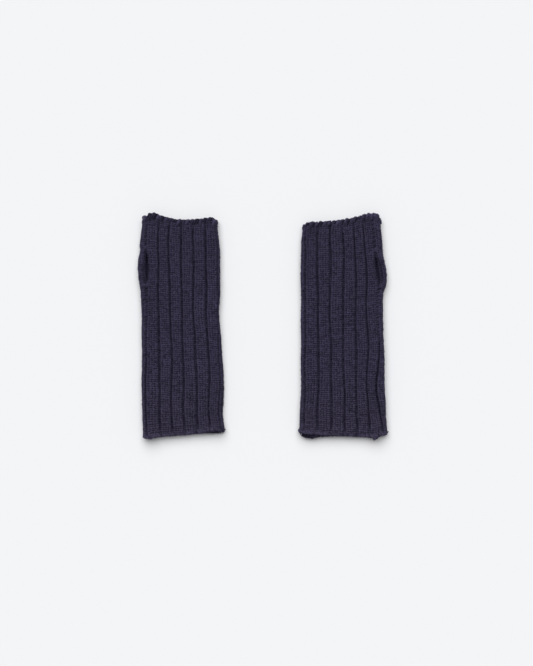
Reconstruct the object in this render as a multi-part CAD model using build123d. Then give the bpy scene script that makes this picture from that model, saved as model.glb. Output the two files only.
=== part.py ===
from build123d import *

import math
import os

# A pair of fingerless ribbed mitts, laid flat side by side, palm side down, fingers towards +Y.
# Each mitt is a rib-knitted panel wrapped into a flat tube and sewn up along its thumb side, with
# a slit left open in that seam for the thumb. Millimetres; the resting surface is z = 0.

# Driving dimensions
mitt_length = 218.0
laid_height = 12.0
wall = 2.7
rib_count = 14
rib_depth = 1.1
pressed_flat = 0.25
seam_inset = 5.0

edge_length = 3.4
edge_swell = 0.9
edge_round = 1.6
body_end = mitt_length / 2 - edge_length

slit_half_gape_out = 3.0
slit_half_gape_in = 2.8
slit_end_spread = 1.3
slit_cut_floor = 6.3
selvedge_d = 2.2
lip_drop = 2.2

seam_d = 1.9
tack_d = 2.6
tack_length = 7.2
knot_d = 3.8
knot_proud = 0.7

# Each mitt's thumb side, its slit, and its sections from wrist to fingers: place along the mitt,
# distance of the section's middle from the middle of the pair, and laid width.
mitts = {
    "left": {
        "thumb_side": -1,
        "slit": (40.0, 76.0),
        "sections": [
            (-body_end, 76.1, 78.6),
            (-61.0, 77.0, 77.6),
            (-18.0, 78.6, 75.4),
            (26.0, 79.6, 75.4),
            (58.0, 79.7, 77.4),
            (81.0, 80.4, 75.4),
            (body_end, 80.6, 71.8),
        ],
    },
    "right": {
        "thumb_side": 1,
        "slit": (39.0, 73.0),
        "sections": [
            (-body_end, 77.4, 83.0),
            (-61.0, 77.2, 80.2),
            (-18.0, 76.7, 79.0),
            (26.0, 76.5, 78.6),
            (58.0, 76.8, 79.6),
            (81.0, 76.2, 78.0),
            (body_end, 76.7, 73.6),
        ],
    },
}

mid_z = laid_height / 2 - pressed_flat
cap_radius = laid_height / 2


def section_at(mitt, y):
    """The middle's distance from the pair's middle, and the width, at any place along the mitt."""
    rows = mitt["sections"]
    if y <= rows[0][0]:
        return rows[0][1:]
    for low, high in zip(rows, rows[1:]):
        if y <= high[0]:
            share = (y - low[0]) / (high[0] - low[0])
            return tuple(a + (b - a) * share for a, b in zip(low[1:], high[1:]))
    return rows[-1][1:]


def thumb_edge_x(mitt, y):
    """Where the tube's thumb-side fold lies, as a distance from the pair's middle."""
    middle, width = section_at(mitt, y)
    return middle + width / 2


def place(mitt, out, y, z):
    """A point given by its distance from the pair's middle on this mitt's side."""
    return Vector(mitt["thumb_side"] * out, y, z)


def round_point(width, height, run, inset):
    """A point of a flat tube's outline, run along from its thumb-side fold, up and over the top.

    Returns the distance from the section's middle towards the thumb, and the height from mid_z.
    """
    radius = height / 2
    flat = width - height
    quarter = math.pi * radius / 2
    turn = 2 * flat + 4 * quarter
    run = run % turn
    reach = radius - inset
    if run > turn - quarter:
        run -= turn
    if run <= quarter:
        angle = run / radius
        return flat / 2 + reach * math.cos(angle), reach * math.sin(angle)
    if run <= quarter + flat:
        return flat / 2 - (run - quarter), reach
    if run <= 3 * quarter + flat:
        angle = math.pi / 2 + (run - quarter - flat) / radius
        return -flat / 2 + reach * math.cos(angle), reach * math.sin(angle)
    return -flat / 2 + (run - 3 * quarter - flat), -reach


def ribbed_outline(mitt, y, middle, width, height):
    """A closed outline across the mitt: one arc for each rib, meeting in the furrows."""
    turn = 2 * (width - height) + math.pi * height
    pitch = turn / rib_count
    first = cap_radius * math.acos((cap_radius - seam_inset) / cap_radius)

    def at(run, inset):
        across, up = round_point(width, height, run, inset)
        return place(mitt, middle + across, y, mid_z + up)

    arcs = []
    for rib in range(rib_count):
        start = first + rib * pitch
        furrow = at(start, rib_depth)
        crest = at(start + pitch / 2, 0)
        next_furrow = at(first + ((rib + 1) % rib_count) * pitch, rib_depth)
        arcs.append(ThreePointArc(furrow, crest, next_furrow))
    return Wire(arcs)


def hollow_outline(mitt, y):
    """The smooth inside of the tube across the mitt: two flats joined by half rounds."""
    middle, width = section_at(mitt, y)
    radius = cap_radius - wall
    thumb = middle + width / 2 - cap_radius
    little = middle - width / 2 + cap_radius
    top = [place(mitt, x, y, mid_z + radius) for x in (thumb, little)]
    low = [place(mitt, x, y, mid_z - radius) for x in (thumb, little)]
    thumb_tip = place(mitt, thumb + radius, y, mid_z)
    little_tip = place(mitt, little - radius, y, mid_z)
    return Wire(
        [
            Line(top[0], top[1]),
            ThreePointArc(top[1], little_tip, low[1]),
            Line(low[1], low[0]),
            ThreePointArc(low[0], thumb_tip, top[0]),
        ]
    )


def above_table(solid):
    """The solid without what would press below the surface it rests on."""
    kept = Box(400, 300, 60, align=(Align.CENTER, Align.CENTER, Align.MIN))
    return (Part() + solid) & kept


def hollow(mitt):
    """The space for the hand, right through the mitt and past both ends."""
    rows = mitt["sections"]
    places = [rows[0][0] - 2 * edge_length] + [row[0] for row in rows]
    places.append(rows[-1][0] + 2 * edge_length)
    return Solid.make_loft([hollow_outline(mitt, y) for y in places])


def slit_curve(mitt, bow, end_offset, end_z, mid_z_here, trim=0.0):
    """An arc along one lip of the thumb slit, bowed outwards or inwards from the seam line."""
    low, high = mitt["slit"]
    low += trim
    high -= trim
    middle = (low + high) / 2
    ends = []
    for y in (low, high):
        out = thumb_edge_x(mitt, y) - seam_inset + end_offset
        ends.append(place(mitt, out, y, end_z))
    out = thumb_edge_x(mitt, middle) - seam_inset + end_offset + bow
    return ThreePointArc(ends[0], place(mitt, out, middle, mid_z_here), ends[1])


def knit_body(mitt):
    """The rib-knitted tube, open at both ends, with the thumb slit cut into its upper thumb side."""
    rows = mitt["sections"]
    outside = Solid.make_loft(
        [ribbed_outline(mitt, y, middle, width, laid_height) for y, middle, width in rows]
    )
    outer_lip = slit_curve(mitt, slit_half_gape_out, slit_end_spread, slit_cut_floor, slit_cut_floor)
    inner_lip = slit_curve(mitt, -slit_half_gape_in, -slit_end_spread, slit_cut_floor, slit_cut_floor)
    ends = [
        Line(outer_lip @ 1, inner_lip @ 1),
        Line(inner_lip @ 0, outer_lip @ 0),
    ]
    opening = extrude(make_face([outer_lip, ends[0], inner_lip, ends[1]]), laid_height, dir=(0, 0, 1))
    return above_table(outside) - hollow(mitt) - opening


def edge_cord(mitt, end):
    """The rolled knitted edge at one end: it swells a little past the ribs, then rounds in."""
    start, middle, width = mitt["sections"][-1 if end > 0 else 0]
    steps = [(0.0, 0.0), (edge_length / 2, edge_swell), (edge_length, -edge_round)]
    outline = [
        ribbed_outline(mitt, start + end * run, middle, width + swell, laid_height + swell)
        for run, swell in steps
    ]
    return above_table(Solid.make_loft(outline)) - hollow(mitt)


def round_cord(path, diameter):
    """A cord of round section along a path."""
    section = Plane(origin=path @ 0, z_dir=path % 0) * Circle(diameter / 2)
    return sweep(section, path=path)


def palm_lip(mitt):
    """The chained edge of the slit on the palm side, bowed out past the fold."""
    end_z = mid_z + cap_radius - selvedge_d / 2 - 0.3
    path = slit_curve(mitt, slit_half_gape_out, slit_end_spread, end_z, end_z - lip_drop, selvedge_d / 2)
    return round_cord(path, selvedge_d)


def back_lip(mitt):
    """The chained edge of the slit on the back of the hand."""
    end_z = mid_z + cap_radius - selvedge_d / 2 - 0.3
    path = slit_curve(mitt, -slit_half_gape_in, -slit_end_spread, end_z, end_z, selvedge_d / 2)
    return round_cord(path, selvedge_d)


def seam(mitt, low, high):
    """The sewing yarn of the seam, lying in the furrow on the thumb side between two places."""
    places = [low] + [row[0] for row in mitt["sections"] if low < row[0] < high] + [high]
    along = Vector(0, 1, 0)
    z = mid_z + cap_radius - rib_depth + 0.1
    rings = []
    for y in places:
        centre = place(mitt, thumb_edge_x(mitt, y) - seam_inset, y, z)
        rings.append(Wire([Edge.make_circle(seam_d / 2, Plane(origin=centre, z_dir=along))]))
    return Solid.make_loft(rings, ruled=True)


def tack(mitt, y):
    """The few stitches over each other that close one end of the slit: a short bar with round ends."""
    z = mid_z + cap_radius - tack_d / 2
    centre = place(mitt, thumb_edge_x(mitt, y) - seam_inset, y, z)
    straight = tack_length - tack_d
    bar = Cylinder(tack_d / 2, straight, rotation=(0, 90, 0))
    for side in (-1, 1):
        bar += Pos(side * straight / 2, 0, 0) * Sphere(tack_d / 2)
    return Pos(centre) * bar


def knot(mitt, end):
    """The knot in the yarn's end, drawn into the corner of an edge on the thumb side."""
    start = mitt["sections"][-1 if end > 0 else 0][0]
    y = start + end * (edge_length - knot_d / 2 + 0.4)
    z = mid_z + cap_radius + knot_proud - knot_d / 2
    centre = place(mitt, thumb_edge_x(mitt, start) - seam_inset, y, z)
    return Pos(centre) * Sphere(knot_d / 2)


def mitt_pieces(mitt):
    """Every piece of one mitt by name."""
    slit_low, slit_high = mitt["slit"]
    wrist = mitt["sections"][0][0]
    fingers = mitt["sections"][-1][0]
    gap = tack_d / 2 + 0.2
    return {
        "knit_body": knit_body(mitt),
        "finger_edge": edge_cord(mitt, 1),
        "wrist_edge": edge_cord(mitt, -1),
        "thumb_slit_palm_edge": palm_lip(mitt),
        "thumb_slit_back_edge": back_lip(mitt),
        "wrist_seam": seam(mitt, wrist + 1, slit_low - gap),
        "finger_seam": seam(mitt, slit_high + gap, fingers - 1),
        "wrist_side_tack": tack(mitt, slit_low),
        "finger_side_tack": tack(mitt, slit_high),
        "finger_knot": knot(mitt, 1),
        "wrist_knot": knot(mitt, -1),
    }


pieces = {}
for side, mitt in mitts.items():
    for name, shape in mitt_pieces(mitt).items():
        pieces[f"{side}_{name}"] = shape

# The pair stands with its footprint centred on the origin.
box = Compound([shape for part in pieces.values() for shape in part.solids()]).bounding_box()
centred = Pos(-(box.min.X + box.max.X) / 2, -(box.min.Y + box.max.Y) / 2, 0)

os.makedirs("parts", exist_ok=True)
for name, shape in pieces.items():
    export_step(centred * shape, f"parts/{name}.step")

print("pair", box.size, "moved by", centred.position)
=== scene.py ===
import math

import bpy
import numpy as np
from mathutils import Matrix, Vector


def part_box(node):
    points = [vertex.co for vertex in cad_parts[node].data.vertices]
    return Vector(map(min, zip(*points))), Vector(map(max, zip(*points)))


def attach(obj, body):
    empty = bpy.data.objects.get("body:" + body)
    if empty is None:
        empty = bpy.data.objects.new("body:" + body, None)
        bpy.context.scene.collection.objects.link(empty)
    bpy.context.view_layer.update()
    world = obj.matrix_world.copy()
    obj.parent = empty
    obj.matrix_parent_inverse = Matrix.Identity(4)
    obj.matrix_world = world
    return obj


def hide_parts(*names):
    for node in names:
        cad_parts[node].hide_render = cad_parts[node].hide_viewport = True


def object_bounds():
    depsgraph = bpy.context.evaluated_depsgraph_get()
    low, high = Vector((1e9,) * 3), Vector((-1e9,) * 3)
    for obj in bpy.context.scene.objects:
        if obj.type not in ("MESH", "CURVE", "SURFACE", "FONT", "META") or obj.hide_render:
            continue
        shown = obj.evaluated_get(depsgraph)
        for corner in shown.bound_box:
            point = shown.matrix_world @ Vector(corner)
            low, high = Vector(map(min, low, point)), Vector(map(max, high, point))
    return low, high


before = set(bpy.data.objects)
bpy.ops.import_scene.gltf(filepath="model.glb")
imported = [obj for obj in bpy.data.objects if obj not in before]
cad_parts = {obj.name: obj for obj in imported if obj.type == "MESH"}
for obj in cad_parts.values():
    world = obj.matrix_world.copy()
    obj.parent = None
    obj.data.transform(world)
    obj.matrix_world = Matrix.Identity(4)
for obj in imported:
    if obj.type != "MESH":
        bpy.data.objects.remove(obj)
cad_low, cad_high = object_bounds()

MM = 0.001

# ---- The knitted panel as it lies ------------------------------------------------------------
# Each mitt is one wide-rib panel of soft navy wool, folded into a tube and laid flat, palm down.
# Its seam runs up the thumb side, rolled a little on to the back of the hand, with the slit in it.
# Fourteen ribs go round: each is four plain wales standing proud of one sunken purl wale.

ribs = 14
laid_height = 11.4 * MM
fold_radius = laid_height / 2
seam_inset = 5.0 * MM
furrow_depth = 2.3 * MM
rib_crown = 0.7 * MM
middle_sag = 1.4 * MM
end_sag = 2.2 * MM
edge_curl = 4.4 * MM
edge_swell = 0.2 * MM
folds_proud = 0.8 * MM
edge_roll = 1.5 * MM
lowest = 0.8 * MM

# What the two hands' mitts have of their own, in millimetres. Thumb is the side of the pair that
# the thumb is on. Ribs are the widths of the first ribs on the back of the hand, from the seam in.
# Fingers and wrist give places across, from the inner fold at -1 to the thumb fold at 1, and how
# far along the finished edge reaches there, the wrist's on the back and on the palm. The lists
# below them start with places from the wrist at 0 to the fingers at 1. Seam goes on with how far
# the seam has strayed on to the back and how deep its furrow is beside the others, under with how
# far the palm's layer looks out past the back's on the inner side, and trim with how much the thumb
# side and the inner side stand out. Peaks are the shares of the slit's length at which its back lip
# and its palm lip stray furthest, and gape is how far the back lip does. A knot is given by a count
# of ribs from the seam, how far it lies beyond the edge, and its size beside the usual. Phase sets
# where the small waves of a panel fall.
MITTS = {
    "left": {
        "thumb": -1,
        "ribs": [12.0, 10.9, 11.3, 11.6, 12.6],
        "fingers": [(-1, 102.2), (-0.93, 106.5), (-0.62, 104.7), (-0.2, 103.8), (0.12, 104.1),
                    (0.38, 106.6), (0.56, 108.2), (0.7, 110.8), (0.86, 109.5), (1, 102.8)],
        "wrist_back": [(-1, -102.3), (-0.88, -102.1), (-0.6, -102.3), (-0.45, -104.1), (0, -105.9),
                       (0.4, -107.3), (0.6, -107.6), (0.75, -108.7), (0.94, -109.9), (1, -108.2)],
        "wrist_palm": [(-1, -102.3), (-0.92, -104.2), (-0.6, -104.2), (-0.3, -104.4), (0, -105.3),
                       (0.4, -106.5), (0.8, -108.3), (1, -108.2)],
        "seam": [(0, -1.2, 0.8), (0.1, -1.6, 1.5), (0.26, -1.4, 1.8), (0.34, -0.8, 0.8),
                 (0.5, -0.4, 0.4), (0.64, 1.0, 0.4), (0.7, 2.0, 0.7), (0.8, 2.0, 0.8),
                 (0.88, 0.8, 0.45), (1, 0, 0.4)],
        "under": [(0, 1.2), (0.15, 2.6), (0.4, 2.0), (0.55, 0.4), (0.62, 0), (1, 0)],
        "trim": [(0, 0, -0.4), (0.04, 0.9, -0.6), (0.14, 1.9, 0.2), (0.22, 1.0, 0), (0.5, 0.7, 0),
                 (0.6, 0.5, -1.4), (0.86, 0.3, -1.6), (0.93, 0.9, -0.8), (1, -0.9, -0.8)],
        "peaks": (0.5, 0.54),
        "gape": 2.0,
        "knots": {"finger": (0.3, 0.6, 1.4), "wrist": (13.72, -1.2, 1.4)},
        "phase": 0.0,
    },
    "right": {
        "thumb": 1,
        "ribs": [10.9, 10.9, 11.7, 12.4, 12.1, 12.6],
        "fingers": [(-1, 98.2), (-0.92, 101.3), (-0.5, 102.2), (-0.15, 103.1), (0.2, 104.9),
                    (0.5, 107.7), (0.72, 110.2), (0.84, 110.4), (0.94, 107.9), (1, 104.2)],
        "wrist_back": [(-1, -102.9), (-0.9, -104.7), (-0.7, -104.9), (-0.5, -105.7), (0, -107.1),
                       (0.4, -107.7), (0.7, -108.8), (0.9, -106.4), (1, -105.6)],
        "wrist_palm": [(-1, -102.9), (-0.92, -107.7), (-0.76, -109.5), (-0.5, -107.5), (0, -106.7),
                       (0.4, -107.1), (0.8, -107.1), (1, -105.6)],
        "seam": [(0, -1.6, 1.3), (0.07, -0.4, 1.6), (0.14, 2.2, 1.9), (0.2, 4.4, 2.0), (0.3, 2.0, 2.0),
                 (0.38, -0.4, 1.6), (0.46, -1.2, 0.6), (0.5, 0.0, 0.3), (0.62, 0.4, 0.3),
                 (0.7, -0.8, 0.8), (0.79, 0.8, 0.8), (0.85, 3.4, 0.8), (0.9, 3.2, 0.4), (1, 2.8, 0.35)],
        "under": [(0, 0.8), (0.06, 0.6), (0.15, 0.2), (0.4, 0), (1, 0)],
        "trim": [(0, 0.2, 1.3), (0.06, 2.1, 0.8), (0.14, 1.2, 0.4), (0.22, -0.2, 0), (0.31, -1.0, 0),
                 (0.4, 0, 0), (0.55, -0.4, 0), (0.8, -0.8, 0), (0.86, -1.0, -0.3), (1, -1.2, -0.9)],
        "peaks": (0.45, 0.38),
        "gape": 3.4,
        "knots": {"finger": (0.36, -0.7, 1.4), "wrist": (13.34, 0.4, 1.4)},
        "phase": 2.1,
    },
}


def side_edges(name):
    """Places along a node, in even steps, and its lowest and highest X near each."""
    points = np.array([v.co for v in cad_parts[name].data.vertices])
    low, high = points[:, 1].min(), points[:, 1].max()
    places = np.linspace(low, high, 24)
    reach = (places[1] - places[0]) * 0.6
    near = [points[abs(points[:, 1] - place) < reach] for place in places]
    return places, np.array([(p[:, 0].min(), p[:, 0].max()) for p in near])


def smooth(x, low, high):
    """0 below low, 1 above high, and a smooth rise between."""
    share = np.clip((x - low) / (high - low), 0, 1)
    return share * share * (3 - 2 * share)


def soft_line(places, values, at):
    """The value of a line through a few points, with its corners rounded."""
    fine = np.linspace(places[0], places[-1], 201)
    plain = np.pad(np.interp(fine, places, values), 8, mode="edge")
    return np.interp(at, fine, np.convolve(plain, np.ones(17) / 17, "valid"))


for side, mitt in MITTS.items():
    places, edges = side_edges(f"{side}_knit_body")
    thumb_column = 1 if mitt["thumb"] > 0 else 0
    mitt["places"] = places
    mitt["thumb_x"] = edges[:, thumb_column]
    mitt["inner_x"] = edges[:, 1 - thumb_column]
    slit_low, slit_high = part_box(f"{side}_thumb_slit_palm_edge")
    mitt["slit"] = [(end.y - places[0]) / np.ptp(places) for end in (slit_low, slit_high)]
    typical = abs(mitt["thumb_x"] - mitt["inner_x"]).mean()
    turn = 2 * (typical - laid_height) + math.pi * laid_height
    shares = np.cumsum([0.0] + mitt["ribs"]) * MM / turn
    others = ribs - len(mitt["ribs"])
    mitt["rib_ends"] = np.concatenate([np.linspace(1, shares[-1], others + 1), shares[-2::-1]])


def folds(mitt, along):
    """The middle of the laid tube and half its width, at places along it."""
    place = mitt["places"][0] + along * np.ptp(mitt["places"])
    trim_places, thumb_trim, inner_trim = np.array(mitt["trim"]).T
    thumb_x = np.interp(place, mitt["places"], mitt["thumb_x"])
    thumb_x = thumb_x + mitt["thumb"] * (folds_proud + soft_line(trim_places, thumb_trim, along) * MM)
    inner_x = np.interp(place, mitt["places"], mitt["inner_x"])
    inner_x = inner_x - mitt["thumb"] * (folds_proud + soft_line(trim_places, inner_trim, along) * MM)
    return (thumb_x + inner_x) / 2, abs(thumb_x - inner_x) / 2


def round_the_tube(mitt, rounds, along, half):
    """Where a count of ribs lies round the flattened tube, a half round at each fold and two flats.

    Returns how far towards the thumb the round's centre or the flat's point is, the angle there from
    the thumb's side up over the back, and whether it is on the inner fold.
    """
    # The ribs wander a little, and the seam strays.
    phase = mitt["phase"]
    sway = 0.035 * np.sin(7.1 * along + 1.7 * rounds + phase)
    sway = sway + 0.024 * np.sin(19.0 * along - 2.3 * rounds + 2 * phase)
    sway = sway + 0.018 * np.sin(47.0 * along + 5.1 * rounds) * np.sin(29.0 * along - rounds)
    sway = sway * smooth(rounds, 0, 0.6) * smooth(ribs - rounds, 0, 0.6)
    share = np.interp(rounds + sway, np.arange(ribs + 1), mitt["rib_ends"])
    from_seam = np.minimum(rounds, ribs - rounds)
    seam_places, strays, _ = np.array(mitt["seam"]).T
    stray = soft_line(seam_places, strays, along) * MM * np.exp(-((from_seam / 1.1) ** 2))
    flat = half - fold_radius
    quarter = math.pi * fold_radius / 2
    turn = 4 * flat + 4 * quarter
    seam_run = fold_radius * math.acos((fold_radius - seam_inset) / fold_radius)
    run = (seam_run + share * turn + stray + quarter) % turn - quarter

    on_inner = (run > quarter + 2 * flat) & (run < 3 * quarter + 2 * flat)
    on_palm = run >= 3 * quarter + 2 * flat
    on_thumb = run < quarter
    angle = np.where(on_inner, math.pi / 2 + (run - quarter - 2 * flat) / fold_radius, math.pi / 2)
    angle = np.where(on_palm, -math.pi / 2, angle)
    angle = np.where(on_thumb, run / fold_radius, angle)
    centre = flat - (run - quarter)
    centre = np.where(on_inner, -flat, centre)
    centre = np.where(on_palm, -flat + run - 3 * quarter - 2 * flat, centre)
    centre = np.where(on_thumb, flat, centre)
    return centre, angle, on_inner


def drawn_together(along):
    """How much the furrows have drawn in: fully along the mitt, and not at its two edges."""
    return smooth(along, 0.008, 0.045) * smooth(1 - along, 0.016, 0.07)


def rib_relief(mitt, rounds, along, depth, angle, on_inner):
    """How far the fabric lies back from the tube's outermost skin: a low crown on each rib, and a
    furrow drawn in beside it."""
    to_furrow = 1 - 2 * abs((rounds + 0.5) % 1 - 0.5)
    at_edge = 1 - drawn_together(along)

    # A furrow is uneven, shallower over the inner fold, and in the seam it has a depth of its own.
    furrow = furrow_depth * (1 - 0.85 * at_edge)
    furrow = furrow * (1 + 0.3 * np.sin(23 * along + 3 * rounds) * np.sin(9 * along - mitt["phase"]))
    furrow = furrow * np.where(abs(angle - 0.6 * math.pi) < 0.3 * math.pi, 1 - 0.6 * on_inner, 1)
    seam_places, _, seam_depths = np.array(mitt["seam"]).T
    in_seam = smooth(0.5 - np.minimum(rounds, ribs - rounds), 0, 0.3)
    furrow = furrow * (1 + (soft_line(seam_places, seam_depths, along) - 1) * in_seam)
    drawn_in = smooth(to_furrow, 0.7, 0.98) * smooth(3.4 * MM - depth, 0, 2 * MM)
    return rib_crown * to_furrow ** 2 + furrow * drawn_in - edge_swell * at_edge


def laid_over(mitt, along, across, angle, on_inner):
    """How far the fabric moves out and up from an even tube as its two layers come to rest."""
    phase = mitt["phase"]
    topside = smooth(np.sin(angle), -0.5, 0.5)

    # The palm's layer curls up at the wrist. The back sags between the folds, most where the tube
    # is open, and is never quite level.
    up = (1 - topside) * edge_curl * smooth(1 - along, 0.94, 1.0) * (1 - across ** 8)
    open_end = smooth(1 - along, 0.86, 1.0) + 0.6 * smooth(along, 0.9, 1.0)
    sag = middle_sag + end_sag * open_end
    up = up - topside * sag * (1 - across ** 2) * smooth(1 - abs(across), 0, 0.3)
    wave = np.sin(9.0 * along + 2.2 * across + phase) + 0.6 * np.sin(23.0 * along - 4.0 * across)
    up = up + topside * 0.3 * MM * wave
    out = 0.22 * MM * np.sin(31.0 * along + 5 * phase) * across

    # On the inner side the back's layer has slid in a little over the palm's.
    under = np.interp(along, *np.array(mitt["under"]).T) * MM
    out = out + under * topside * smooth(-across, 0.35, 1.0)
    out = out + 0.9 * under * np.exp(-(((angle - 1.05 * math.pi) / 0.3) ** 2)) * on_inner
    return out, up


def row_line(mitt, rounds, along, across, angle):
    """Y of the rows of knitting. The two ends are not cut square: rows bow out to them."""
    first, last = mitt["places"][0], mitt["places"][-1]
    fingers = soft_line(*np.array(mitt["fingers"]).T, across) * MM - edge_roll
    back = soft_line(*np.array(mitt["wrist_back"]).T, across) * MM
    palm = soft_line(*np.array(mitt["wrist_palm"]).T, across) * MM
    wrist = palm + (back - palm) * smooth(np.sin(angle), -0.5, 0.5) + edge_roll
    y = first + along * (last - first)
    y = y + (fingers - last) * smooth(along, 0.72, 1.0) ** 1.3
    y = y + (wrist - first) * smooth(1 - along, 0.78, 1.0) ** 1.3
    bend = np.sin(1.9 * rounds + 5.0 * along + mitt["phase"]) + 0.5 * np.sin(4.3 * rounds - 14.0 * along)
    y = y + 0.45 * MM * bend * smooth(along, 0, 0.1) * smooth(1 - along, 0, 0.1)
    ripple = np.sin(61.0 * along + 2.9 * rounds) * np.sin(17.0 * along - 1.3 * rounds + mitt["phase"])
    return y + 0.35 * MM * ripple * smooth(along, 0, 0.05) * smooth(1 - along, 0, 0.05)


def swell(along, low, high, peak):
    """0 outside low and high, and 1 at the given share of the way between them."""
    share = np.clip((along - low) / (high - low), 0, 1) ** (math.log(0.5) / math.log(peak))
    return np.sin(math.pi * share) ** 1.2


def parted_lips(mitt, rounds, along):
    """How far the fabric moves out and up beside the slit: its palm lip bellies out and sinks, from a
    little below the slit, and its back lip draws in."""
    low, high = mitt["slit"]
    back_peak, palm_peak = mitt["peaks"]
    back_lip = np.exp(-(((ribs - rounds) / 0.6) ** 2)) * swell(along, low, high, back_peak)
    palm_lip = np.exp(-(((rounds - 0.3) / 0.7) ** 2)) * swell(along, low - 0.03, high, palm_peak)
    return (3.3 * palm_lip - mitt["gape"] * back_lip) * MM, (0.3 * back_lip - 0.9 * palm_lip) * MM


def tube(mitt, rounds, along, depth):
    """Points of the laid tube, depth under its outermost skin.

    rounds counts ribs from the seam, out over the thumb fold, under the palm, round the inner fold
    and back over the top to the seam. along goes from 0 at the wrist edge to 1 at the finger edge.
    """
    rounds, along, depth = np.broadcast_arrays(
        np.asarray(rounds, float), np.asarray(along, float), np.asarray(depth, float))
    middle, half = folds(mitt, along)
    centre, angle, on_inner = round_the_tube(mitt, rounds, along, half)
    across = np.clip((centre + fold_radius * np.cos(angle)) / half, -1, 1)
    reach = fold_radius - depth - rib_relief(mitt, rounds, along, depth, angle, on_inner)
    laid_out, laid_up = laid_over(mitt, along, across, angle, on_inner)
    lip_out, lip_up = parted_lips(mitt, rounds, along)
    out = centre + reach * np.cos(angle) + laid_out + lip_out
    up = reach * np.sin(angle) + laid_up + lip_up
    y = row_line(mitt, rounds, along, across, angle)
    z = np.maximum(laid_height / 2 + up, np.minimum(depth, lowest))
    return np.stack([middle + mitt["thumb"] * out, y, z], axis=-1)


# ---- Navy wool -------------------------------------------------------------------------------
# Soft carded wool spun in two plies, dyed a dark navy that has a little violet in it. Loose
# fibres on its surface catch light at a slant, so edges look paler than the face does.

navy_dark = (0.0085, 0.0075, 0.016)
navy_light = (0.066, 0.058, 0.1115)
# Painted light: the paler colour the wool is given towards the wrist end.
navy_painted_light = (0.075, 0.0635, 0.1115)
sheen_tint = (0.5, 0.45, 0.85, 1)


def node(tree, kind, inputs=None, **settings):
    """A new node with its settings, and its inputs set or linked."""
    made = tree.nodes.new(kind)
    for key, value in settings.items():
        setattr(made, key, value)
    for key, value in (inputs or {}).items():
        if isinstance(value, bpy.types.NodeSocket):
            tree.links.new(value, made.inputs[key])
        else:
            made.inputs[key].default_value = value
    return made


def maths(tree, operation, *values):
    """The result of a Math node."""
    return node(tree, "ShaderNodeMath", dict(enumerate(values)), operation=operation).outputs[0]


def wool(name):
    """Spun wool: dye that varies from fibre to fibre and stitch to stitch, and two plies' twist.

    Towards the wrist end the colour is painted a little paler and greyer: painted light.
    """
    material = bpy.data.materials.new(name)
    material.use_nodes = True
    tree = material.node_tree
    tree.nodes.clear()
    where = node(tree, "ShaderNodeTexCoord").outputs["Object"]
    fleck = node(tree, "ShaderNodeTexNoise", {"Vector": where, "Scale": 1150.0, "Detail": 1.0})
    fibre = node(tree, "ShaderNodeTexNoise", {"Vector": where, "Scale": 2600.0, "Detail": 3.0})
    tone = node(tree, "ShaderNodeAttribute", attribute_name="tone").outputs["Fac"]
    painted_shade = node(tree, "ShaderNodeAttribute", attribute_name="painted_shade").outputs["Fac"]
    on_yarn = node(tree, "ShaderNodeUVMap", uv_map="yarn").outputs["UV"]
    part = node(tree, "ShaderNodeSeparateXYZ", {"Vector": on_yarn})
    round_it = maths(tree, "MULTIPLY", part.outputs["X"], 2.0)
    half_turns = maths(tree, "MULTIPLY_ADD", part.outputs["Y"], 1.25, round_it)
    wave = maths(tree, "SINE", maths(tree, "MULTIPLY", half_turns, math.pi))
    ply = maths(tree, "ABSOLUTE", wave)

    # How pale the colour is at a point, and the two colours that it lies between. Beside the dye's own
    # flecks and stitch tone it holds painted shade: darker in the grooves between the plies and on yarn
    # that dips into the fabric or lies in a neighbour's shade.
    pale = maths(tree, "MULTIPLY_ADD", fibre.outputs["Fac"], 0.5, tone)
    pale = maths(tree, "MULTIPLY_ADD", fleck.outputs["Fac"], 2.2, pale)
    pale = maths(tree, "MULTIPLY_ADD", ply, 0.3, pale)
    pale = maths(tree, "MULTIPLY_ADD", painted_shade, -0.8, pale)
    shade = node(tree, "ShaderNodeMapRange", {"Value": pale, "From Min": 0.6, "From Max": 1.5})
    place = node(tree, "ShaderNodeSeparateXYZ", {"Vector": where})
    # Painted light: towards the wrist end the light colour turns paler and greyer.
    painted_light_at_wrist = node(tree, "ShaderNodeMapRange", {"Value": place.outputs["Y"], "From Min": -0.04,
                                             "From Max": -0.11})
    light = node(tree, "ShaderNodeMix", {"Factor": painted_light_at_wrist.outputs["Result"], 6: (*navy_light, 1),
                                         7: (*navy_painted_light, 1)}, data_type="RGBA")
    dye = node(tree, "ShaderNodeMix", {"Factor": shade.outputs["Result"], 6: (*navy_dark, 1),
                                       7: light.outputs[2]}, data_type="RGBA")
    strand = node(tree, "ShaderNodeBump", {"Strength": 1.0, "Distance": 0.22 * MM, "Height": ply})
    bump = node(tree, "ShaderNodeBump", {"Strength": 0.5, "Distance": 0.12 * MM,
                                         "Height": fibre.outputs["Fac"],
                                         "Normal": strand.outputs["Normal"]})
    shader = node(tree, "ShaderNodeBsdfPrincipled", {
        "Base Color": dye.outputs[2], "Normal": bump.outputs["Normal"],
        "Roughness": 0.95, "Specular IOR Level": 0.12, "Sheen Weight": 0.16,
        "Sheen Roughness": 0.45, "Sheen Tint": sheen_tint})
    node(tree, "ShaderNodeOutputMaterial", {"Surface": shader.outputs["BSDF"]})
    return material


stitch_wool = wool("navy_wool")


# ---- The fabric's wall -----------------------------------------------------------------------
# The panel behind the faces of the stitches: the backs of the loops, purl rows inside the tube and
# the sunken wales. It is one sheet of knitting, open along the slit and sewn shut beyond it.

wales = 4
rows = 102
columns_in_rib = [0.0, 0.03, 0.06, 0.1, 0.2, 0.35, 0.5, 0.65, 0.8, 0.9, 0.94, 0.97]
seam_gap = 0.002
fabric_thickness = 2.3 * MM
stitch_depth = 0.55 * MM
wall_depth = stitch_depth + 0.25 * MM


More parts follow.
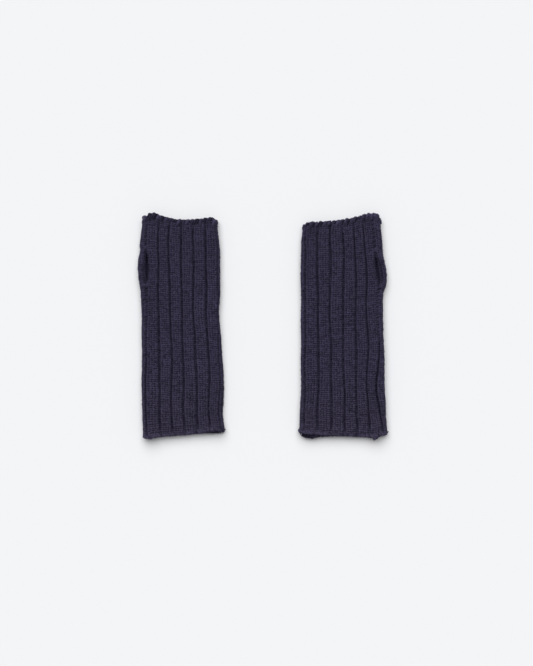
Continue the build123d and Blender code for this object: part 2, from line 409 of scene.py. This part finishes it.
def wall_material():
    """The backs of the loops: a row of small arches for every row of knitting."""
    material = bpy.data.materials.new("navy_wool_inside_painted_shade")
    material.use_nodes = True
    tree = material.node_tree
    tree.nodes.clear()
    where = node(tree, "ShaderNodeTexCoord").outputs["Object"]
    fibre = node(tree, "ShaderNodeTexNoise", {"Vector": where, "Scale": 1500.0, "Detail": 3.0})
    fabric = node(tree, "ShaderNodeUVMap", uv_map="fabric").outputs["UV"]
    part = node(tree, "ShaderNodeSeparateXYZ", {"Vector": fabric})
    arch = maths(tree, "SINE", maths(tree, "MULTIPLY", part.outputs["X"], 2 * math.pi))
    row = maths(tree, "MULTIPLY_ADD", arch, 0.16, part.outputs["Y"])
    loops = maths(tree, "SINE", maths(tree, "MULTIPLY", row, 2 * math.pi))
    # Painted shade: the backs of the loops are the same navy wool painted darker, and darker again
    # between the arches.
    pale = maths(tree, "MULTIPLY_ADD", loops, 0.2, fibre.outputs["Fac"])
    shade = node(tree, "ShaderNodeMapRange", {"Value": pale, "From Min": 0.2, "From Max": 0.9})
    dye = node(tree, "ShaderNodeMix", {"Factor": shade.outputs["Result"],
                                       6: (*[c * 0.7 for c in navy_dark], 1),
                                       7: (*[c * 0.8 for c in navy_light], 1)}, data_type="RGBA")
    ridge = node(tree, "ShaderNodeBump", {"Strength": 0.8, "Distance": 0.5 * MM, "Height": loops})
    bump = node(tree, "ShaderNodeBump", {"Strength": 0.4, "Distance": 0.15 * MM,
                                         "Height": fibre.outputs["Fac"],
                                         "Normal": ridge.outputs["Normal"]})
    shader = node(tree, "ShaderNodeBsdfPrincipled", {
        "Base Color": dye.outputs[2], "Normal": bump.outputs["Normal"],
        "Roughness": 0.95, "Specular IOR Level": 0.1, "Sheen Weight": 0.1,
        "Sheen Roughness": 0.5, "Sheen Tint": sheen_tint})
    node(tree, "ShaderNodeOutputMaterial", {"Surface": shader.outputs["BSDF"]})
    return material


wall_wool = wall_material()


def new_object(name, mesh):
    made = bpy.data.objects.new(name, mesh)
    bpy.context.scene.collection.objects.link(made)
    return made


def knit_wall(side, mitt):
    """The panel as a closed sheet: an outer and an inner skin joined along its four borders."""
    rounds = np.array([rib + q for rib in range(ribs) for q in columns_in_rib] + [ribs])
    rounds[0], rounds[-1] = seam_gap, ribs - seam_gap
    along = np.linspace(0, 1, rows + 1)
    across, up = np.meshgrid(rounds, along)
    skins = [tube(mitt, across, up, depth) for depth in (wall_depth, stitch_depth + fabric_thickness)]
    points = np.concatenate([skin.reshape(-1, 3) for skin in skins])
    number = np.arange(up.size).reshape(up.shape)
    corners = np.stack([number[:-1, :-1], number[:-1, 1:], number[1:, 1:], number[1:, :-1]], -1)
    border = np.concatenate([number[0, :], number[1:, -1], number[-1, -2::-1], number[-2:0:-1, 0]])
    onward = np.roll(border, -1)
    outer = corners.reshape(-1, 4)
    rim = np.stack([border + up.size, onward + up.size, onward, border], -1)
    if mitt["thumb"] < 0:
        outer = outer[:, ::-1]
        rim = rim[:, ::-1]
    faces = np.concatenate([outer, outer[:, ::-1] + up.size, rim])
    mesh = bpy.data.meshes.new(f"{side}_knit_panel")
    mesh.from_pydata(points.tolist(), [], faces.tolist())

    # One map gives each skin half of the square, and the other counts wales and rows.
    grid = np.stack([across / ribs, up], -1).reshape(-1, 2)
    halves = np.concatenate([grid * (0.98, 0.485) + (0.01, start) for start in (0.005, 0.505)])
    wale_rows = np.concatenate([grid * (ribs * (wales + 1), rows)] * 2)
    for name, values in (("OFBake", halves), ("fabric", wale_rows)):
        layer = mesh.uv_layers.new(name=name)
        index = np.zeros(len(mesh.loops), int)
        mesh.loops.foreach_get("vertex_index", index)
        layer.data.foreach_set("uv", values[index].ravel().astype(np.float32))
    mesh.shade_smooth()
    mesh.materials.append(wall_wool)
    mesh.validate()
    return new_object(f"{side}_knit_panel", mesh)


# ---- The ribs' stitches ----------------------------------------------------------------------
# The plain side of the knitting: every stitch is a V, two legs of the same yarn that come up from
# behind the row below and lean out to go behind the row above. One V on each wale for each row.

wale_share = 0.2
yarn = 1.2 * MM

# The points of a section of yarn, as turns from the side that is seen: only that side is round.
face_round = np.array([-0.32, -0.16, 0.0, 0.16, 0.32])


def unit(v):
    return v / np.maximum(np.linalg.norm(v, axis=-1, keepdims=True), 1e-12)


def tube_frame(mitt, rounds, along, depth):
    """The tube's points, with the directions out of the fabric, along a wale and along a row, and the
    width of a rib there."""
    rounds, along = np.broadcast_arrays(np.asarray(rounds, float), np.asarray(along, float))
    step = 0.02
    here = tube(mitt, rounds, along, depth)
    row = tube(mitt, rounds + step, along, depth) - tube(mitt, rounds - step, along, depth)
    wale = tube(mitt, rounds, along + step / 4, depth) - tube(mitt, rounds, along - step / 4, depth)
    outward = mitt["thumb"] * np.cross(row, wale)
    return here, unit(outward), unit(wale), unit(row), np.linalg.norm(row, axis=-1) / (2 * step)


def yarn_run(points, radii, section=face_round, closed=False):
    """A stretch of yarn through some points: its vertices, faces, and each corner's place on it."""
    points = np.array(points, float)
    count = len(points)
    ahead = np.roll(points, -1, axis=0) - np.roll(points, 1, axis=0)
    if not closed:
        ahead[0] = points[1] - points[0]
        ahead[-1] = points[-1] - points[-2]
    ahead = unit(ahead)
    steps = np.linalg.norm(np.roll(points, -1, axis=0) - points, axis=1)
    lengths = np.concatenate([[0.0], np.cumsum(steps)]) / yarn
    up = np.array([0.0, 0.0, 1.0]) if abs(ahead[0][2]) < 0.9 else np.array([0.0, 1.0, 0.0])
    sides = len(section)
    turns = np.append(section, section[0] + 1)
    vertices = []
    for point, way, radius in zip(points, ahead, radii):
        up = unit(up - way * np.dot(up, way))
        over = np.cross(way, up)
        for turn in 2 * math.pi * section:
            vertices.append(point + radius * (math.cos(turn) * up + math.sin(turn) * over))
    faces, places = [], []
    for i in range(count if closed else count - 1):
        here, there = i * sides, (i + 1) % count * sides
        for k in range(sides):
            j = (k + 1) % sides
            faces.append((here + k, here + j, there + j, there + k))
            places += [(turns[k], lengths[i]), (turns[k + 1], lengths[i]),
                       (turns[k + 1], lengths[i + 1]), (turns[k], lengths[i + 1])]
    if not closed:
        last = (count - 1) * sides
        faces += [tuple(range(sides - 1, -1, -1)), tuple(range(last, last + sides))]
        places += [(turns[k], lengths[0]) for k in range(sides - 1, -1, -1)]
        places += [(turns[k], lengths[count - 1]) for k in range(sides)]
    return vertices, faces, places


def yarn_shape(name, runs, lower=(), row_height=None):
    """One loose object of several stretches of yarn, kept out of the scene to be set on points.

    Lower says how much deeper in shade each stretch lies. Where a row height is given, the yarn is
    also in shade where it passes from row to row.
    """
    vertices, faces, on_yarn, spread = [], [], [], []
    for number, (run_vertices, run_faces, places) in enumerate(runs):
        shift = len(vertices)
        vertices += [tuple(v) for v in run_vertices]
        faces += [tuple(i + shift for i in face) for face in run_faces]
        places = np.array(places)
        on_yarn.append(places)
        share = (places - places.min(0)) / np.ptp(places, axis=0)
        spread.append((share * (0.96, 1) + (number, 0)) / (len(runs), 1))
    mesh = bpy.data.meshes.new(name)
    mesh.from_pydata(vertices, [], faces)
    for layer_name, values in (("yarn", on_yarn), ("OFBake", spread)):
        layer = mesh.uv_layers.new(name=layer_name)
        layer.data.foreach_set("uv", np.concatenate(values).ravel().astype(np.float32))
    _, up, height = np.array(vertices).T
    # Painted shade: the yarn is darker where it dips down into the fabric.
    painted_shade = smooth(-height, -0.3 * yarn, 0.7 * yarn)
    if row_height:
        painted_shade = np.maximum(painted_shade, smooth(abs(up) / row_height, 0.2, 0.5))
    if lower:
        painted_shade = painted_shade + np.repeat(lower, [len(run[0]) for run in runs])
    layer = mesh.attributes.new("painted_shade", "FLOAT", "POINT")
    layer.data.foreach_set("value", painted_shade.astype(np.float32))
    mesh.shade_smooth()
    return bpy.data.objects.new(name, mesh)


def plain_stitch(width, height):
    """A V of two legs, its point towards the wrist, in a cell of the given size."""
    runs = []
    for hand in (-1, 1):
        leg = [
            (hand * 0.05 * width, -0.92 * height, -0.80 * yarn),
            (hand * 0.12 * width, -0.50 * height, -0.10 * yarn),
            (hand * 0.25 * width, -0.04 * height, 0.26 * yarn),
            (hand * 0.37 * width, 0.38 * height, 0.06 * yarn),
            (hand * 0.45 * width, 0.78 * height, -0.80 * yarn),
        ]
        radii = [0.30 * yarn, 0.43 * yarn, 0.49 * yarn, 0.45 * yarn, 0.30 * yarn]
        runs.append(yarn_run(leg, radii))
    # Painted shade: the second leg of each V is darker, as if in its neighbour's shade, and both legs are
    # darker where they pass from row to row.
    return yarn_shape("plain_stitch", runs, (0, 0.35), height)


def stitch_tree():
    """Geometry nodes that put a stitch on every point, turned to the fabric there."""
    tree = bpy.data.node_groups.new("stitches on points", "GeometryNodeTree")
    face = tree.interface
    face.new_socket("Points", in_out="INPUT", socket_type="NodeSocketGeometry")
    face.new_socket("Stitch", in_out="INPUT", socket_type="NodeSocketObject")
    face.new_socket("Wool", in_out="INPUT", socket_type="NodeSocketMaterial")
    face.new_socket("Unevenness", in_out="INPUT", socket_type="NodeSocketFloat")
    face.new_socket("Seed", in_out="INPUT", socket_type="NodeSocketInt")
    face.new_socket("Cell", in_out="INPUT", socket_type="NodeSocketFloat")
    face.new_socket("Geometry", in_out="OUTPUT", socket_type="NodeSocketGeometry")
    given = node(tree, "NodeGroupInput").outputs

    def named(name, kind="FLOAT_VECTOR"):
        return node(tree, "GeometryNodeInputNamedAttribute", {"Name": name}, data_type=kind)

    turn = node(tree, "FunctionNodeAxesToRotation",
                {"Primary Axis": named("outward").outputs[0], "Secondary Axis": named("lay").outputs[0]},
                primary_axis="Z", secondary_axis="Y")
    least = maths(tree, "MULTIPLY", given["Unevenness"], -1.0)
    wobble = node(tree, "FunctionNodeRandomValue",
                  {"Min": least, "Max": given["Unevenness"], "Seed": given["Seed"]},
                  data_type="FLOAT_VECTOR")
    turned = node(tree, "FunctionNodeRotateRotation",
                  {"Rotation": turn.outputs[0], "Rotate By": wobble.outputs[0]},
                  rotation_space="LOCAL")
    stitch = node(tree, "GeometryNodeObjectInfo", {"Object": given["Stitch"], "As Instance": True})
    placed = node(tree, "GeometryNodeInstanceOnPoints",
                  {"Points": given["Points"], "Instance": stitch.outputs["Geometry"],
                   "Rotation": turned.outputs[0], "Scale": named("size").outputs[0]})
    real = node(tree, "GeometryNodeRealizeInstances", {"Geometry": placed.outputs[0]})
    inside = node(tree, "ShaderNodeVectorMath",
                  {0: named("OFBake").outputs[0], "Scale": given["Cell"]}, operation="SCALE")
    spot = node(tree, "ShaderNodeVectorMath", {0: named("cell").outputs[0], 1: inside.outputs[0]},
                operation="ADD")
    mapped = node(tree, "GeometryNodeStoreNamedAttribute",
                  {"Geometry": real.outputs[0], "Name": "OFBake", "Value": spot.outputs[0]},
                  data_type="FLOAT2", domain="CORNER")
    soft = node(tree, "GeometryNodeSetShadeSmooth", {"Geometry": mapped.outputs[0]})
    dyed = node(tree, "GeometryNodeSetMaterial", {"Geometry": soft.outputs[0], "Material": given["Wool"]})
    node(tree, "NodeGroupOutput", {"Geometry": dyed.outputs[0]})
    return tree


stitches_on_points = stitch_tree()
squash = 0.6 * MM


def pressed(z):
    """Heights, with what is lower than the squash pressed softly on to the floor."""
    return np.where(z > squash, z, squash * np.exp(np.minimum(z / squash - 1, 0)))


def stitched(name, spots, stitch, unevenness=0.0, seed=1):
    """A piece made of one stitch on every spot. Spots are points, outward, lay, size and tone."""
    points, outward, lay, size, tone = spots
    count = len(points)
    host_mesh = bpy.data.meshes.new(f"{name}_points")
    host_mesh.from_pydata([tuple(p) for p in points], [], [])
    grid = math.ceil(math.sqrt(count))
    number = np.arange(count)
    margin = 0.06
    cell = np.stack([(number % grid + margin) / grid, (number // grid + margin) / grid, 0 * number], -1)
    for key, values in (("outward", outward), ("lay", lay), ("size", size), ("cell", cell)):
        layer = host_mesh.attributes.new(key, "FLOAT_VECTOR", "POINT")
        layer.data.foreach_set("vector", np.asarray(values, np.float32).ravel())
    layer = host_mesh.attributes.new("tone", "FLOAT", "POINT")
    layer.data.foreach_set("value", np.asarray(tone, np.float32))
    host = new_object(f"{name}_points", host_mesh)
    modifier = host.modifiers.new("stitches", "NODES")
    modifier.node_group = stitches_on_points
    given = {"Stitch": stitch, "Wool": stitch_wool, "Unevenness": unevenness, "Seed": seed,
             "Cell": (1 - 2 * margin) / grid}
    for item in stitches_on_points.interface.items_tree:
        if item.in_out == "INPUT" and item.name in given:
            modifier[item.identifier] = given[item.name]
    graph = bpy.context.evaluated_depsgraph_get()
    mesh = bpy.data.meshes.new_from_object(
        host.evaluated_get(graph), preserve_all_data_layers=True, depsgraph=graph)
    mesh.name = name
    bpy.data.objects.remove(host)
    places = np.empty(3 * len(mesh.vertices), np.float32)
    mesh.vertices.foreach_get("co", places)
    places[2::3] = pressed(places[2::3])
    mesh.vertices.foreach_set("co", places)
    return new_object(name, mesh)


def uneven_tone(count, seed, spread=0.12):
    """How much paler or darker each stitch is, the same every run."""
    return np.random.default_rng(seed).normal(0, spread, count)


cell_width = 2.4 * MM
cell_height = 2.1 * MM
the_plain_stitch = plain_stitch(cell_width, cell_height)


def rib_stitches(side, mitt, name, first_rib, last_rib, seed):
    """All the plain stitches of some neighbouring ribs."""
    wale_places = [(k - (wales - 1) / 2) * wale_share for k in range(wales)]
    rounds = np.array([rib + 0.5 + q for rib in range(first_rib, last_rib) for q in wale_places])
    along = (np.arange(rows) + 0.5) / rows
    across, up = (a.ravel() for a in np.meshgrid(rounds, along))
    here, outward, wale, row, rib_width = tube_frame(mitt, across, up, stitch_depth)
    above, below = (tube(mitt, across, up + half / rows, stitch_depth) for half in (0.5, -0.5))
    tall = np.linalg.norm(above - below, axis=-1)
    size = np.stack([rib_width * wale_share / cell_width, tall / cell_height, np.ones(len(tall))], -1)
    chance = np.random.default_rng(seed + 5)
    shift = chance.normal(0, 0.13 * MM, (len(here), 3))
    here = here + shift[:, :1] * outward + shift[:, 1:2] * wale + shift[:, 2:] * row
    size = size * chance.normal(1, 0.05, (len(here), 3))
    row_tone = chance.normal(0, 0.02, rows) + 0.05 * (-1.0) ** np.arange(rows)
    tone = uneven_tone(len(here), seed) + np.repeat(row_tone, len(rounds))
    return stitched(f"{side}_{name}", (here, outward, wale, size, tone), the_plain_stitch, 0.05, seed)


for number, (side, mitt) in enumerate(MITTS.items()):
    panel = knit_wall(side, mitt)
    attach(panel, f"{side}_mitt")
    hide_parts(f"{side}_knit_body")
    mitt["panel"] = panel
    mitt["on_panel"] = [
        rib_stitches(side, mitt, "thumb_rib_stitches", 0, 4, 11 + number),
        rib_stitches(side, mitt, "palm_rib_stitches", 4, 8, 15 + number),
        rib_stitches(side, mitt, "inner_rib_stitches", 8, 11, 21 + number),
        rib_stitches(side, mitt, "back_rib_stitches", 11, ribs, 25 + number),
    ]
    for piece in mitt["on_panel"]:
        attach(piece, f"{side}_mitt")


# ---- The sunken wales ------------------------------------------------------------------------
# Between two ribs one wale is knitted from the other side, so each of its stitches shows as a low
# arch of yarn lying across. The fabric draws together there and the wale sinks out of the light.

def purl_bar(width):
    """The low arch of yarn that shows of a purl stitch."""
    arch = [(-0.5 * width, -0.15 * yarn, -0.45 * yarn), (-0.25 * width, 0.1 * yarn, 0.05 * yarn),
            (0.25 * width, 0.1 * yarn, 0.05 * yarn), (0.5 * width, -0.15 * yarn, -0.45 * yarn)]
    return yarn_shape("purl_bar", [yarn_run(arch, [0.3 * yarn, 0.4 * yarn, 0.4 * yarn, 0.3 * yarn])])


the_purl_bar = purl_bar(2.2 * MM)
for number, (side, mitt) in enumerate(MITTS.items()):
    along = (np.arange(rows) + 0.5) / rows
    across, up = (a.ravel() for a in np.meshgrid(np.arange(1.0, ribs), along))
    here, outward, wale, _, _ = tube_frame(mitt, across, up, stitch_depth)
    # Painted shade: the purl bars are darker where the furrows are drawn in deep.
    tone = uneven_tone(len(here), 31 + number, 0.3) - 0.6 * drawn_together(up)
    spots = (here, outward, wale, np.ones((len(here), 3)), tone)
    sunken = stitched(f"{side}_sunken_wales", spots, the_purl_bar, 0.08, 31 + number)
    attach(sunken, f"{side}_mitt")
    mitt["on_panel"].append(sunken)


# ---- The finger and wrist edges --------------------------------------------------------------
# At the fingers each wale's last loop is drawn through its neighbour's, which leaves a plait of
# slanting strands rolled over the edge. The wrist is the cast-on, a tighter row that leans the
# other way.

def edge_strands(name, pitch, lean, reach, thick, shade):
    """Two slanting strands that come up the outside, over the edge and down the inside.

    The second is thinner, lies a little lower and is in shade by the given amount.
    """
    bow = 0.5 * fabric_thickness + 0.3 * yarn
    runs = []
    for start, scale, lower in ((-0.75, 1.0, 0.0), (-0.25, 0.7, 0.5 * MM)):
        strand = [
            (lean * start * pitch, -reach - lower, bow * 0.75),
            (lean * (start + 0.25) * pitch, -0.45 * reach - lower, bow * 1.15),
            (lean * (start + 0.5) * pitch, 0.1 * reach - lower, bow * 1.0),
            (lean * (start + 0.7) * pitch, edge_roll - thick - lower, 0.2 * bow),
            (lean * (start + 0.9) * pitch, 0.1 * reach - lower, -bow * 0.9),
            (lean * (start + 1.1) * pitch, -0.6 * reach - lower, -bow * 0.9),
        ]
        radii = np.array([0.65, 1.0, 1.08, 1.0, 0.9, 0.6]) * thick * scale
        runs.append(yarn_run(strand, radii))
    return yarn_shape(name, runs, (0, shade))


edge_pitch = {"finger": 4.4 * MM, "wrist": 2.6 * MM}
edge_tone = {"finger": -0.35, "wrist": -0.1}
finger_strands = edge_strands(
    "bound_off_strands", edge_pitch["finger"], lean=1, reach=4.2 * MM, thick=0.84 * yarn, shade=0.8)
wrist_strands = edge_strands(
    "cast_on_strands", edge_pitch["wrist"], lean=-1.5, reach=2.1 * MM, thick=0.6 * yarn, shade=0.6)
mid_wall = stitch_depth + 0.5 * fabric_thickness

for number, (side, mitt) in enumerate(MITTS.items()):
    for end, at, strands in (("finger", 1.0, finger_strands), ("wrist", 0.0, wrist_strands)):
        fine = np.linspace(0.02, ribs - 0.02, 800)
        steps = np.linalg.norm(np.diff(tube(mitt, fine, at, mid_wall), axis=0), axis=1)
        run = np.concatenate([[0], np.cumsum(steps)])
        count = round(run[-1] / edge_pitch[end])
        rounds = np.interp((np.arange(count) + 0.5) / count * run[-1], run, fine)
        here, outward, wale, _, _ = tube_frame(mitt, rounds, at, mid_wall)
        off = wale if end == "finger" else -wale
        chance = np.random.default_rng(41 + number)
        lumps = 1 + 0.07 * (-1.0) ** np.arange(count)[:, None]
        size = np.ones((count, 3)) * lumps * chance.normal(1.0, 0.08, (count, 1))
        tone = uneven_tone(count, 43 + number, 0.3) + edge_tone[end]
        spots = (here, outward, off, size, tone)
        edge = stitched(f"{side}_{end}_edge_stitches", spots, strands, 0.09, 45 + number)
        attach(edge, f"{side}_mitt")
        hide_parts(f"{side}_{end}_edge")
        mitt["on_panel"].append(edge)


# ---- The slit's two edges --------------------------------------------------------------------
# The panel's own sides, left unsewn for the thumb. The rows turn back there in loose loops, so each
# lip is a chain of slanting links, a little proud of the fabric.

lip_pitch = 2.9 * MM
lip_strands = edge_strands(
    "lip_strands", lip_pitch, lean=1, reach=1.7 * MM, thick=0.42 * yarn, shade=0.2)

for number, (side, mitt) in enumerate(MITTS.items()):
    low, high = mitt["slit"]
    length = np.ptp(mitt["places"])
    count = round((high - low) * length / lip_pitch)
    along = low + (np.arange(count) + 0.5) / count * (high - low)
    for lip, at, inward in (("palm", 0.06, 0.1), ("back", ribs - 0.06, ribs - 0.16)):
        here = tube(mitt, at, along, mid_wall)
        off = unit(here - tube(mitt, inward + (inward - at), along, mid_wall))
        wale = unit(tube(mitt, at, along + 0.004, mid_wall) - tube(mitt, at, along - 0.004, mid_wall))
        outward = unit(np.cross(off, wale) * (1 if lip == "palm" else -1) * -mitt["thumb"])
        spots = (here, outward, off, np.ones((count, 3)), uneven_tone(count, 51 + number) - 0.45)
        chain = stitched(f"{side}_slit_{lip}_edge_stitches", spots, lip_strands, 0.1, 53 + number)
        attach(chain, f"{side}_mitt")
        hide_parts(f"{side}_thumb_slit_{lip}_edge")
        mitt["on_panel"].append(chain)


# ---- The seam --------------------------------------------------------------------------------
# Above and below the slit the panel's two sides are sewn edge to edge with the same wool. The
# stitches cross the join on a slant, two for about three rows, and pull down into its furrow.

def on_seam(mitt, along, reach, depth):
    """The middle of the join, the way out of the fabric and the way along.

    The join is taken between points that lie reach, in ribs, to each side of it.
    """
    def sides(along):
        return [tube(mitt, rounds, along, depth) for rounds in (reach, ribs - reach)]

    out_side, back_side = sides(along)
    wale = unit(sum(sides(along + 0.004)) - sum(sides(along - 0.004)))
    outward = unit(np.cross(back_side - out_side, wale)) * -mitt["thumb"]
    return (out_side + back_side) / 2, outward, wale


def seam_bar():
    """A slanting stitch across the join, its ends going down into the fabric."""
    bar = [(-1.5 * MM, -1.1 * MM, -0.9 * MM), (-0.9 * MM, -0.6 * MM, 0.0), (0.0, 0.1 * MM, 0.25 * MM),
           (0.9 * MM, 0.8 * MM, 0.0), (1.5 * MM, 1.3 * MM, -0.9 * MM)]
    return yarn_shape("seam_bar", [yarn_run(bar, np.array([0.3, 0.42, 0.44, 0.42, 0.3]) * yarn)])


the_seam_bar = seam_bar()
rows_to_bar = 1.6
for number, (side, mitt) in enumerate(MITTS.items()):
    low, high = mitt["slit"]
    stretches = {"wrist": (0.003, low - 0.008), "finger": (high + 0.008, 0.999)}
    for end, (start, stop) in stretches.items():
        count = round((stop - start) * rows / rows_to_bar)
        along = np.linspace(start, stop, count)
        seam_places, _, seam_depths = np.array(mitt["seam"]).T
        pulled_in = smooth(soft_line(seam_places, seam_depths, along), 0.5, 1.3)
        here, outward, wale = on_seam(mitt, along, 0.1, (0.1 + 1.5 * pulled_in) * MM)
        # Painted shade: the bars are darker where they are pulled deep into the seam's furrow.
        tone = uneven_tone(count, 61 + number) - 0.1 - 0.7 * pulled_in
        spots = (here, outward, wale, np.ones((count, 3)), tone)
        seam = stitched(f"{side}_{end}_seam_stitches", spots, the_seam_bar, 0.12, 63 + number)
        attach(seam, f"{side}_mitt")
        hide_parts(f"{side}_{end}_seam")
        mitt["on_panel"].append(seam)


# ---- The tacks at the slit's ends ------------------------------------------------------------
# Where the seam stops, a few stitches are sewn over each other to keep it from running open.

def tack_shape(reach):
    """Five crossing bars, each lying over the one before."""
    runs = []
    for number, lean in enumerate((-0.55, -0.2, 0.1, 0.4, 0.75)):
        rise = 0.12 * yarn * number
        shift = (number - 2) * 0.45 * yarn
        bar = [(x * reach, x * reach * lean + shift, rise + z * yarn)
               for x, z in ((-1, -0.7), (-0.6, 0.0), (0, 0.25), (0.6, 0.0), (1, -0.7))]
        runs.append(yarn_run(bar, np.array([0.3, 0.42, 0.45, 0.42, 0.3]) * yarn))
    return yarn_shape("tack", runs)


the_tack = tack_shape(2.9 * MM)
for number, (side, mitt) in enumerate(MITTS.items()):
    for end, at in (("wrist", mitt["slit"][0]), ("finger", mitt["slit"][1])):
        here, outward, wale = on_seam(mitt, np.array([at]), 0.16, 0.4 * MM)
        spots = (here, outward, wale, np.ones((1, 3)), np.array([-0.4]))
        tack = stitched(f"{side}_{end}_side_tack_stitches", spots, the_tack, 0.0, 71)
        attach(tack, f"{side}_mitt")
        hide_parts(f"{side}_{end}_side_tack")
        mitt["on_panel"].append(tack)


# ---- The knots at the corners ----------------------------------------------------------------
# The seam's yarn ends in a knot at each edge: one turn drawn tight, with its tail darned away.

def knot_shape(size):
    """A loop tucked through itself, closed on itself where the tail would leave it."""
    all_round = np.arange(6) / 6
    around = np.linspace(0, 2 * math.pi, 40, endpoint=False)
    reach = 2 + np.cos(3 * around)
    points = np.array([reach * np.cos(2 * around), reach * np.sin(2 * around), 1.5 * np.sin(3 * around)])
    scale = size / 6.6
    return yarn_shape("knot", [yarn_run(points.T * scale, [0.5 * yarn] * len(around), all_round, True)])


the_knot = knot_shape(3.8 * MM)
for number, (side, mitt) in enumerate(MITTS.items()):
    for end, at in (("finger", 1.0), ("wrist", 0.0)):
        rounds, beyond, scale = mitt["knots"][end]
        here, outward, wale, _, _ = tube_frame(mitt, np.array([rounds]), at, 0.4 * MM)
        here = here + wale * beyond * MM * (1 if end == "finger" else -1)
        spots = (here, outward, wale, np.full((1, 3), scale), np.array([-0.3]))
        knot = stitched(f"{side}_{end}_knot_yarn", spots, the_knot, 0.0, 73)
        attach(knot, f"{side}_mitt")
        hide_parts(f"{side}_{end}_knot")
        mitt["on_panel"].append(knot)


# ---- Stray fibres ----------------------------------------------------------------------------
# Carded wool never lies quite smooth: short fibres work loose all over and stand off the surface,
# more of them along the edges, where the knitting is rubbed.

def fibre_shapes():
    """Three bent hairs, each a little longer than the one before."""
    chance = np.random.default_rng(81)
    three_sides = np.arange(3) / 3
    radii = np.array([0.05, 0.045, 0.035, 0.02]) * MM
    shapes = []
    for number in range(3):
        reach = (1.6 + 0.5 * number) * MM
        bend = chance.uniform(-0.5, 0.5, (4, 2)) * reach
        hair = [(0, 0, -0.2 * MM)]
        for k, share in enumerate((1 / 3, 2 / 3, 1)):
            hair.append((bend[k][0] * share, bend[k][1] * share, reach * share))
        shapes.append(yarn_shape(f"hair_{number}", [yarn_run(hair, radii, three_sides)]))
    return shapes


hairs = fibre_shapes()
hairs_on_mitt = 1500
for number, (side, mitt) in enumerate(MITTS.items()):
    for kind, hair in enumerate(hairs):
        chance = np.random.default_rng(83 + 10 * number + kind)
        count = hairs_on_mitt // len(hairs)
        rounds = chance.uniform(0.1, ribs - 0.1, count)
        near_ends = chance.random(count) < 0.4
        along = np.where(near_ends, chance.beta(0.35, 0.35, count), chance.random(count))
        here, outward, wale, row, _ = tube_frame(mitt, rounds, along, 0.3 * MM)
        out_at_end = wale * (smooth(along, 0.985, 1.0) - smooth(1 - along, 0.985, 1.0))[:, None]
        way = unit(outward + 1.6 * out_at_end + chance.normal(0, 0.35, (count, 3)))
        size = chance.uniform(0.6, 1.3, (count, 3))
        spots = (here, way, row, size, np.full(count, 0.1))
        fibres = stitched(f"{side}_stray_fibres_{kind + 1}", spots, hair, 0.3, 87 + kind)
        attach(fibres, f"{side}_mitt")
        mitt["on_panel"].append(fibres)


# Before it was folded and sewn, each panel was knitted flat: once round the hand, wrist to fingers.


# ---- Floor, light and camera -----------------------------------------------------------------
# A pale floor under soft light from beyond the fingers, seen from straight above.

scene = bpy.context.scene
scene.view_settings.view_transform = "Standard"
floor_mesh = bpy.data.meshes.new("floor")
floor_half = 3.0
corners = [(x * floor_half, y * floor_half, 0) for x, y in ((-1, -1), (1, -1), (1, 1), (-1, 1))]
floor_mesh.from_pydata(corners, [], [(0, 1, 2, 3)])
floor = new_object("floor", floor_mesh)
paper = bpy.data.materials.new("pale_floor")
paper.use_nodes = True
paper_shader = paper.node_tree.nodes["Principled BSDF"]
paper_shader.inputs["Base Color"].default_value = (0.88, 0.888, 0.905, 1)
paper_shader.inputs["Roughness"].default_value = 1.0
paper_shader.inputs["Specular IOR Level"].default_value = 0.0
floor_mesh.materials.append(paper)

world = bpy.data.worlds.new("studio")
world.use_nodes = True
world.node_tree.nodes["Background"].inputs["Color"].default_value = (1, 1, 1, 1)
world.node_tree.nodes["Background"].inputs["Strength"].default_value = 0.27
scene.world = world

key = bpy.data.lights.new("key", "SUN")
key.energy = 2.84
key.angle = math.radians(64)
key_object = bpy.data.objects.new("key", key)
key_object.rotation_euler = Vector((0.16, -1.0, -1.55)).to_track_quat("-Z", "Y").to_euler()
scene.collection.objects.link(key_object)

camera = bpy.data.cameras.new("camera")
camera.lens = 100
camera.sensor_width = 36
camera_object = bpy.data.objects.new("camera", camera)
scene.collection.objects.link(camera_object)
scene.camera = camera_object
view_height = 0.6435
view_middle = (0.0028, -0.0064)
distance = view_height / 2 / (camera.sensor_width / 2 / camera.lens)
camera_object.location = (*view_middle, distance + cad_high.z)
camera.clip_start = 0.05
